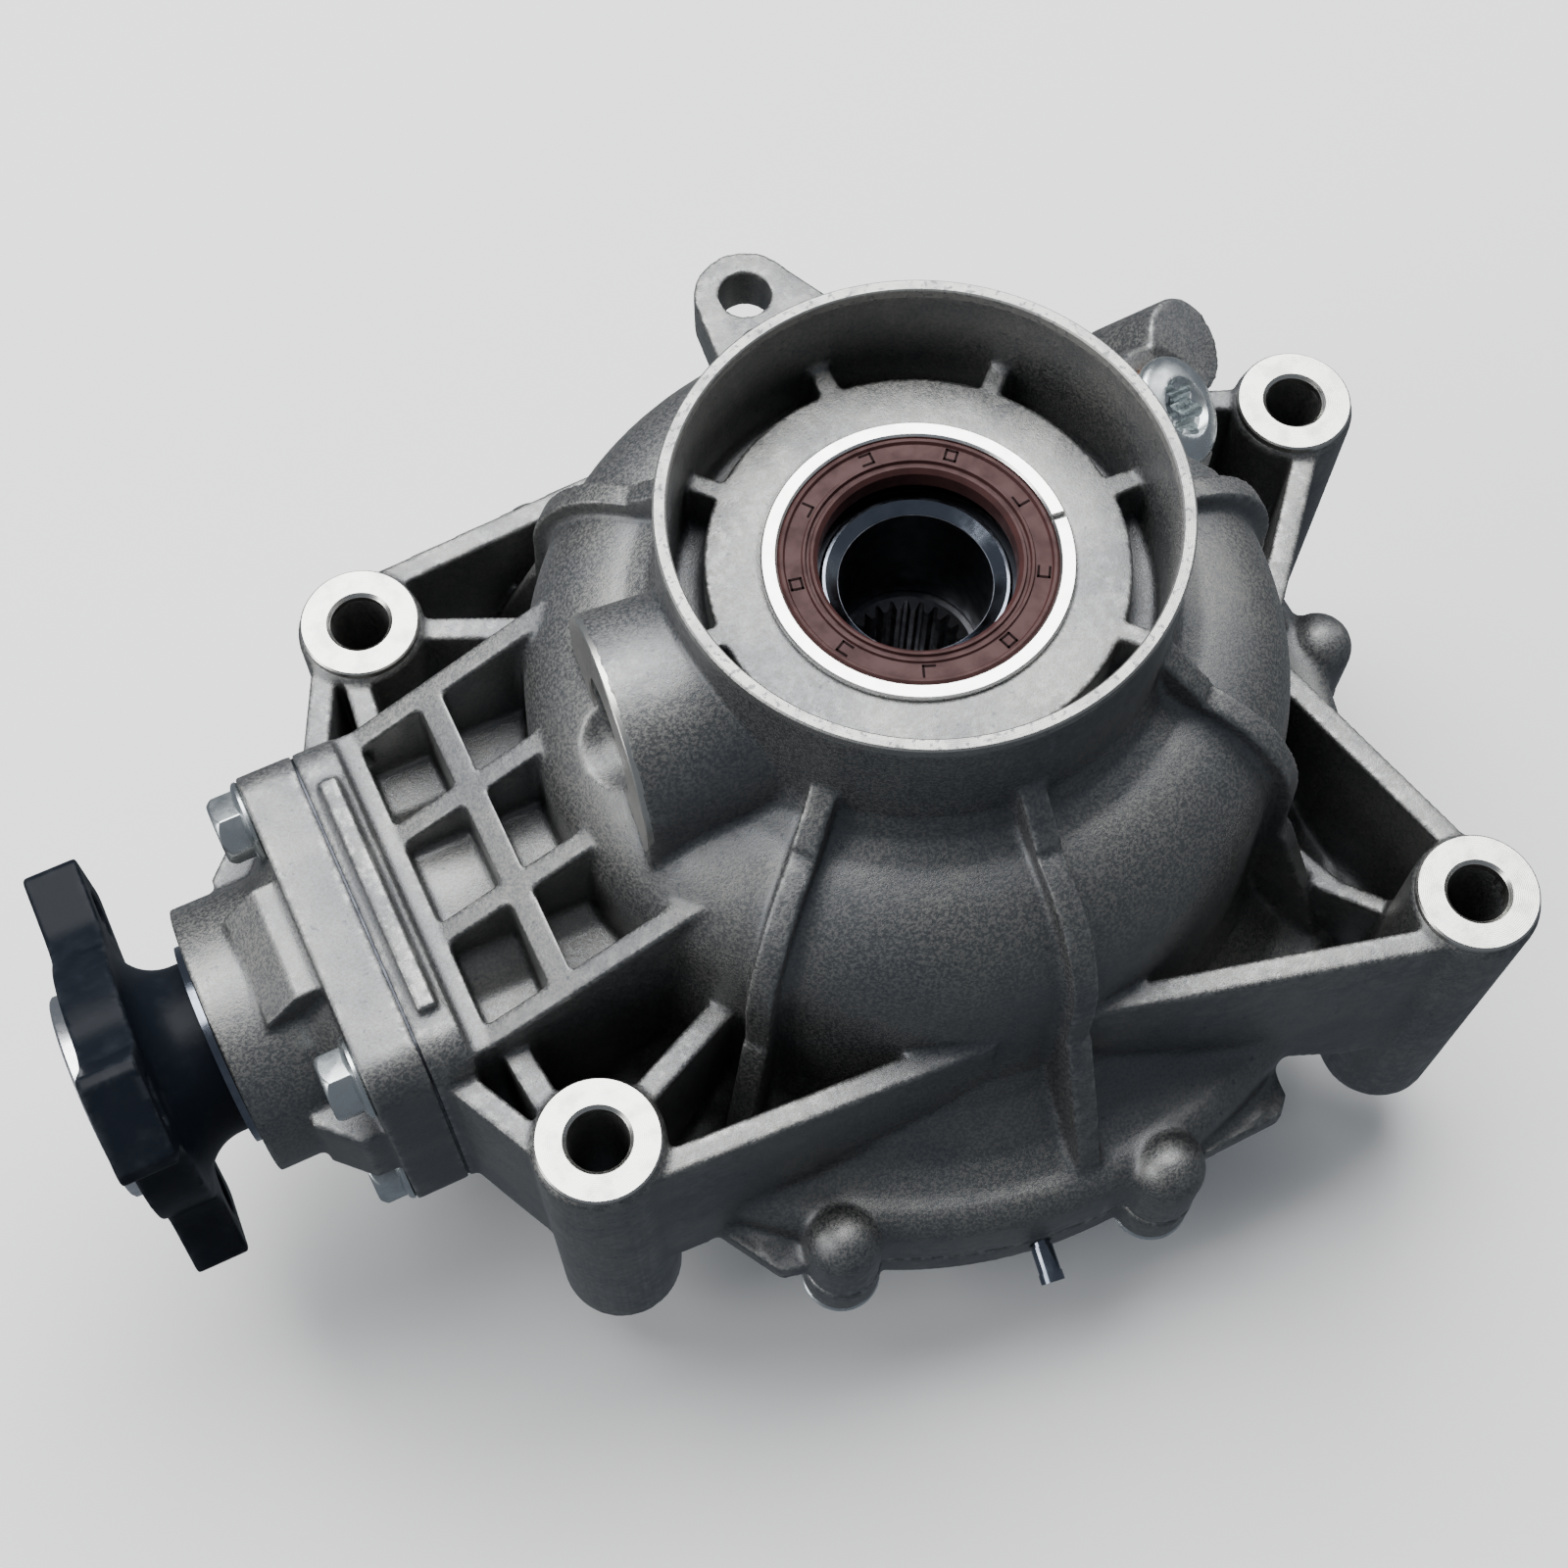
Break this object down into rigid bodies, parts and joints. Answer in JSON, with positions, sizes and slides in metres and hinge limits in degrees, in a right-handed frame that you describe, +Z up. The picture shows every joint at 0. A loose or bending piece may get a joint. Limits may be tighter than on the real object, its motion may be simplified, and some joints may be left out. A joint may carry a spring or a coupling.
{
  "type": "rear differential",
  "caption": "Cast aluminium rear differential with mounting bosses, a ribbed nose, a three-armed input flange and a geared differential inside.",
  "frame": {"origin": "on the axle line, in the plane of the lower collar's rim that the part stands on", "axes": "+Z up along the axle line, -X along the pinion's axis towards the input flange, +Y towards the lifting ear"},
  "size_m": [0.2875, 0.2126, 0.1777],
  "materials": {
    "cast_aluminium": "as-cast, fine grain, machined on its faces",
    "gasket": "pressed fibre",
    "zinc_steel": "zinc plated",
    "bright_steel": "turned",
    "black_rubber": "matte",
    "brown_rubber": "satin",
    "copper": "soft copper",
    "bearing_steel": "ground",
    "black_steel": "black semi-gloss",
    "gear_steel": "hardened and oiled",
    "cast_iron": "as cast with turned journals",
    "bronze": "plain"
  },
  "bodies": {
    "housing": {"main_housing": "cast_aluminium", "side_cover": "cast_aluminium", "cover_gasket": "gasket", "cover_bolts": "zinc_steel", "dowel_pins": "bright_steel", "pinion_retainer": "cast_aluminium", "retainer_shim": "bright_steel", "retainer_o_ring": "black_rubber", "retainer_bolts": "zinc_steel", "pinion_seal": "black_rubber", "upper_axle_seal": "brown_rubber", "lower_axle_seal": "brown_rubber", "fill_plug": "zinc_steel", "fill_plug_washer": "copper", "drain_plug": "zinc_steel", "drain_plug_washer": "copper", "vent_nipple": "zinc_steel", "port_cup_plug": "bright_steel", "upper_bearing_outer_ring": "bearing_steel", "lower_bearing_outer_ring": "bearing_steel", "inner_pinion_cup": "bearing_steel", "outer_pinion_cup": "bearing_steel"},
    "pinion": {"input_flange": "black_steel", "flange_dust_ring": "bright_steel", "flange_nut": "zinc_steel", "flange_washer": "bright_steel", "pinion_gear": "gear_steel", "pinion_spacer": "bright_steel", "inner_pinion_cone": "bearing_steel", "outer_pinion_cone": "bearing_steel"},
    "pinion_rollers": {"inner_pinion_rollers": "bearing_steel", "outer_pinion_rollers": "bearing_steel"},
    "carrier": {"differential_case": "cast_iron", "ring_gear": "gear_steel", "ring_gear_bolts": "gear_steel", "upper_bearing_inner_ring": "bearing_steel", "lower_bearing_inner_ring": "bearing_steel", "cross_pin": "bright_steel", "cross_pin_lock": "bright_steel", "upper_thrust_washer": "bronze", "lower_thrust_washer": "bronze"},
    "carrier_balls": {"upper_bearing_balls": "bearing_steel", "lower_bearing_balls": "bearing_steel"},
    "upper_side": {"upper_side_gear": "gear_steel"},
    "lower_side": {"lower_side_gear": "gear_steel"},
    "left_spider": {"left_spider_gear": "gear_steel"},
    "right_spider": {"right_spider_gear": "gear_steel"}
  },
  "joints": [
    {"name": "carrier_spin", "type": "hinge", "parent": "housing", "child": "carrier", "pos_m": [0, 0, 0.08], "axis": [0, 0, 1], "continuous": true},
    {"name": "pinion_spin", "type": "hinge", "parent": "housing", "child": "pinion", "pos_m": [0, 0, 0.08], "axis": [-1, 0, 0], "continuous": true},
    {"name": "pinion_roller_spin", "type": "hinge", "parent": "housing", "child": "pinion_rollers", "pos_m": [0, 0, 0.08], "axis": [-1, 0, 0], "continuous": true},
    {"name": "carrier_ball_spin", "type": "hinge", "parent": "housing", "child": "carrier_balls", "pos_m": [0, 0, 0.08], "axis": [0, 0, 1], "continuous": true},
    {"name": "upper_side_spin", "type": "hinge", "parent": "carrier", "child": "upper_side", "pos_m": [0, 0, 0.08], "axis": [0, 0, 1], "continuous": true},
    {"name": "lower_side_spin", "type": "hinge", "parent": "carrier", "child": "lower_side", "pos_m": [0, 0, 0.08], "axis": [0, 0, 1], "continuous": true},
    {"name": "left_spider_spin", "type": "hinge", "parent": "carrier", "child": "left_spider", "pos_m": [0, 0, 0.08], "axis": [0, -1, 0], "continuous": true},
    {"name": "right_spider_spin", "type": "hinge", "parent": "carrier", "child": "right_spider", "pos_m": [0, 0, 0.08], "axis": [0, 1, 0], "continuous": true}
  ],
  "couplings": [
    {"joint": "pinion_spin", "follows": "carrier_spin", "ratio": 3.3636},
    {"joint": "pinion_roller_spin", "follows": "carrier_spin", "ratio": 1.425},
    {"joint": "carrier_ball_spin", "follows": "carrier_spin", "ratio": 0.42685},
    {"joint": "lower_side_spin", "follows": "upper_side_spin", "ratio": -1},
    {"joint": "left_spider_spin", "follows": "upper_side_spin", "ratio": 1.6},
    {"joint": "right_spider_spin", "follows": "upper_side_spin", "ratio": 1.6}
  ]
}
